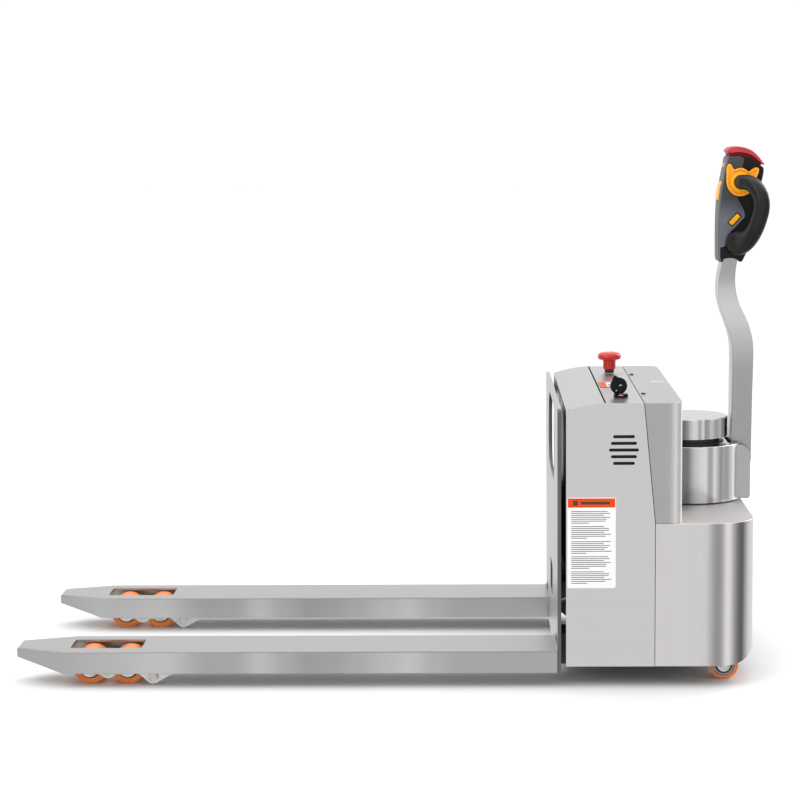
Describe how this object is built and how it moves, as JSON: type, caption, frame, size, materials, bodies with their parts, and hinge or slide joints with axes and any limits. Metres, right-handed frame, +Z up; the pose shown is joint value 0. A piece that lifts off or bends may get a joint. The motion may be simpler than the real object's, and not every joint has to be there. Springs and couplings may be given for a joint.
{
  "type": "pallet jack",
  "caption": "Electric walkie pallet truck with a stainless sheet-metal body, twin forks on tandem load rollers, a steered drive unit and a tilting tiller with loop grips.",
  "frame": {"origin": "centre of the overall box, on the floor", "axes": "+X from the fork tips to the operator's end, +Z up, -Y is the operator's left hand"},
  "size_m": [1.6152, 0.685, 1.1252],
  "materials": {
    "stainless_sheet": "fine brushed stainless sheet, satin",
    "stainless_fork": "satin stainless plate with soft reflections",
    "stainless_arm": "bead-blasted stainless",
    "painted_frame": "dark painted steel",
    "zinc_steel": "zinc-plated steel",
    "orange_pu": "cast polyurethane tread",
    "drive_tyre": "solid rubber tread",
    "cast_hub": "cast, machined faces",
    "chrome_rod": "hard chrome",
    "slate_plastic": "textured moulded plastic",
    "black_plastic": "moulded, fine texture",
    "grip_rubber": "soft-touch moulded grip",
    "yellow_plastic": "semi-gloss moulded",
    "red_plastic": "semi-gloss moulded",
    "battery_case": "moulded case",
    "indicator_face": "printed polyester face"
  },
  "bodies": {
    "chassis": {"chassis_frame": "painted_frame", "side_cover_left": "stainless_sheet", "side_cover_right": "stainless_sheet", "front_lid": "stainless_sheet", "control_panel": "stainless_sheet", "rear_hood": "stainless_sheet", "rear_skirt": "stainless_sheet", "batteries": "battery_case", "motor_controller": "black_plastic", "hydraulic_power_unit": "painted_frame", "lift_cylinder_barrel": "painted_frame", "steering_bearing_ring": "zinc_steel", "battery_indicator": "indicator_face", "estop_base": "black_plastic", "key_switch": "black_plastic"},
    "fork_frame": {"fork_left": "stainless_fork", "fork_right": "stainless_fork", "backrest": "stainless_fork", "heel_plates": "stainless_fork", "lift_bracket": "stainless_fork", "lift_cylinder_rod": "chrome_rod", "load_arm_pivot_pins": "zinc_steel"},
    "rocker": {"rocker_shaft": "zinc_steel"},
    "tie_link": {"tie_link": "zinc_steel"},
    "steering": {"drive_housing": "cast_hub", "drive_motor": "painted_frame", "tiller_base": "stainless_sheet", "motor_cap": "stainless_sheet", "tiller_pivot_pin": "zinc_steel"},
    "drive_wheel": {"drive_wheel_tyre": "drive_tyre", "drive_wheel_hub": "cast_hub"},
    "tiller": {"tiller_arm": "stainless_arm", "head_housing": "slate_plastic", "handle_grip_left": "grip_rubber", "handle_grip_right": "grip_rubber"},
    "throttle": {"throttle_butterfly": "yellow_plastic"},
    "belly_button": {"belly_button": "red_plastic"},
    "lift_button": {"lift_button": "yellow_plastic"},
    "horn_button": {"horn_button": "yellow_plastic"},
    "side_button": {"side_button_left": "yellow_plastic"},
    "estop_knob": {"estop_knob": "red_plastic"},
    "key": {"key": "black_plastic"},
    "load_arm_left": {"load_arm_left": "zinc_steel", "load_arm_pins_left": "zinc_steel"},
    "bogie_left": {"bogie_plates_left": "zinc_steel", "roller_axles_left": "zinc_steel"},
    "roller_front_left": {"load_roller_front_left": "orange_pu"},
    "roller_rear_left": {"load_roller_rear_left": "orange_pu"},
    "pull_rod_left": {"pull_rod_left": "zinc_steel"},
    "castor_fork_left": {"castor_fork_left": "zinc_steel"},
    "castor_wheel_left": {"castor_wheel_left": "orange_pu"},
    "load_arm_right": {"load_arm_right": "zinc_steel", "load_arm_pins_right": "zinc_steel"},
    "bogie_right": {"bogie_plates_right": "zinc_steel", "roller_axles_right": "zinc_steel"},
    "roller_front_right": {"load_roller_front_right": "orange_pu"},
    "roller_rear_right": {"load_roller_rear_right": "orange_pu"},
    "pull_rod_right": {"pull_rod_right": "zinc_steel"},
    "castor_fork_right": {"castor_fork_right": "zinc_steel"},
    "castor_wheel_right": {"castor_wheel_right": "orange_pu"}
  },
  "joints": [
    {"name": "lift", "type": "slide", "parent": "chassis", "child": "fork_frame", "axis": [0, 0, 1], "range_m": [0, 0.115]},
    {"name": "rocker_pivot", "type": "hinge", "parent": "fork_frame", "child": "rocker", "pos_m": [0.409, 0, 0.086], "axis": [0, -1, 0], "range_deg": [-1, 49]},
    {"name": "tie_link_pivot", "type": "hinge", "parent": "chassis", "child": "tie_link", "pos_m": [0.51, 0, 0.1435], "axis": [0, 1, 0], "range_deg": [-1, 35]},
    {"name": "steer", "type": "hinge", "parent": "chassis", "child": "steering", "pos_m": [0.644, 0, 0.32], "axis": [0, 0, 1], "range_deg": [-90, 90]},
    {"name": "drive_wheel_roll", "type": "hinge", "parent": "steering", "child": "drive_wheel", "pos_m": [0.644, 0, 0.105], "axis": [0, 1, 0], "continuous": true},
    {"name": "tiller_tilt", "type": "hinge", "parent": "steering", "child": "tiller", "pos_m": [0.758, 0, 0.439], "axis": [0, 1, 0], "range_deg": [0, 75], "stiffness_Nm_per_rad": 20, "springref_deg": -45.84},
    {"name": "throttle_turn", "type": "hinge", "parent": "tiller", "child": "throttle", "pos_m": [0.7515, 0, 1.048], "axis": [0, 1, 0], "range_deg": [-30, 30], "stiffness_Nm_per_rad": 0.5},
    {"name": "belly_button_press", "type": "slide", "parent": "tiller", "child": "belly_button", "axis": [0, 0, -1], "range_m": [0, 0.003], "stiffness_N_per_m": 900, "springref_m": -0.004},
    {"name": "lift_button_press", "type": "slide", "parent": "tiller", "child": "lift_button", "axis": [0.9818, 0, -0.1897], "range_m": [0, 0.003], "stiffness_N_per_m": 500, "springref_m": -0.003},
    {"name": "horn_button_press", "type": "slide", "parent": "tiller", "child": "horn_button", "axis": [0.9829, 0, -0.184], "range_m": [0, 0.002], "stiffness_N_per_m": 400, "springref_m": -0.003},
    {"name": "side_button_press", "type": "slide", "parent": "tiller", "child": "side_button", "axis": [0, 1, 0], "range_m": [0, 0.002], "stiffness_N_per_m": 400, "springref_m": -0.003},
    {"name": "estop_press", "type": "slide", "parent": "chassis", "child": "estop_knob", "axis": [0, 0, -1], "range_m": [0, 0.008], "stiffness_N_per_m": 600, "springref_m": -0.004},
    {"name": "key_turn", "type": "hinge", "parent": "chassis", "child": "key", "pos_m": [0.48, -0.2395, 0.61], "axis": [0, 0, -1], "range_deg": [0, 90]},
    {"name": "load_arm_left_pivot", "type": "hinge", "parent": "fork_frame", "child": "load_arm_left", "pos_m": [-0.447, -0.2675, 0.058], "axis": [0, -1, 0], "range_deg": [-1, 49]},
    {"name": "bogie_left_pivot", "type": "hinge", "parent": "load_arm_left", "child": "bogie_left", "pos_m": [-0.612, -0.2675, 0.037], "axis": [0, 1, 0], "range_deg": [-1, 49]},
    {"name": "roller_front_left_roll", "type": "hinge", "parent": "bogie_left", "child": "roller_front_left", "pos_m": [-0.6525, -0.2675, 0.037], "axis": [0, 1, 0], "continuous": true},
    {"name": "roller_rear_left_roll", "type": "hinge", "parent": "bogie_left", "child": "roller_rear_left", "pos_m": [-0.5715, -0.2675, 0.037], "axis": [0, 1, 0], "continuous": true},
    {"name": "pull_rod_left_pivot", "type": "hinge", "parent": "rocker", "child": "pull_rod_left", "pos_m": [0.34, -0.2675, 0.048], "axis": [0, 1, 0], "range_deg": [-1, 49]},
    {"name": "castor_left_swivel", "type": "hinge", "parent": "chassis", "child": "castor_fork_left", "pos_m": [0.665, -0.248, 0.11], "axis": [0, 0, 1], "continuous": true},
    {"name": "castor_left_roll", "type": "hinge", "parent": "castor_fork_left", "child": "castor_wheel_left", "pos_m": [0.698, -0.248, 0.032], "axis": [0, 1, 0], "continuous": true},
    {"name": "load_arm_right_pivot", "type": "hinge", "parent": "fork_frame", "child": "load_arm_right", "pos_m": [-0.447, 0.2675, 0.058], "axis": [0, -1, 0], "range_deg": [-1, 49]},
    {"name": "bogie_right_pivot", "type": "hinge", "parent": "load_arm_right", "child": "bogie_right", "pos_m": [-0.612, 0.2675, 0.037], "axis": [0, 1, 0], "range_deg": [-1, 49]},
    {"name": "roller_front_right_roll", "type": "hinge", "parent": "bogie_right", "child": "roller_front_right", "pos_m": [-0.6525, 0.2675, 0.037], "axis": [0, 1, 0], "continuous": true},
    {"name": "roller_rear_right_roll", "type": "hinge", "parent": "bogie_right", "child": "roller_rear_right", "pos_m": [-0.5715, 0.2675, 0.037], "axis": [0, 1, 0], "continuous": true},
    {"name": "pull_rod_right_pivot", "type": "hinge", "parent": "rocker", "child": "pull_rod_right", "pos_m": [0.34, 0.2675, 0.048], "axis": [0, 1, 0], "range_deg": [-1, 49]},
    {"name": "castor_right_swivel", "type": "hinge", "parent": "chassis", "child": "castor_fork_right", "pos_m": [0.665, 0.248, 0.11], "axis": [0, 0, 1], "continuous": true},
    {"name": "castor_right_roll", "type": "hinge", "parent": "castor_fork_right", "child": "castor_wheel_right", "pos_m": [0.698, 0.248, 0.032], "axis": [0, 1, 0], "continuous": true}
  ],
  "couplings": [
    {"joint": "rocker_pivot", "follows": "lift", "rad_per_m": 7.2237},
    {"joint": "tie_link_pivot", "follows": "lift", "rad_per_m": 5.0435},
    {"joint": "load_arm_left_pivot", "follows": "lift", "rad_per_m": 7.2237},
    {"joint": "bogie_left_pivot", "follows": "lift", "rad_per_m": 7.2237},
    {"joint": "pull_rod_left_pivot", "follows": "lift", "rad_per_m": 7.2237},
    {"joint": "load_arm_right_pivot", "follows": "lift", "rad_per_m": 7.2237},
    {"joint": "bogie_right_pivot", "follows": "lift", "rad_per_m": 7.2237},
    {"joint": "pull_rod_right_pivot", "follows": "lift", "rad_per_m": 7.2237}
  ]
}
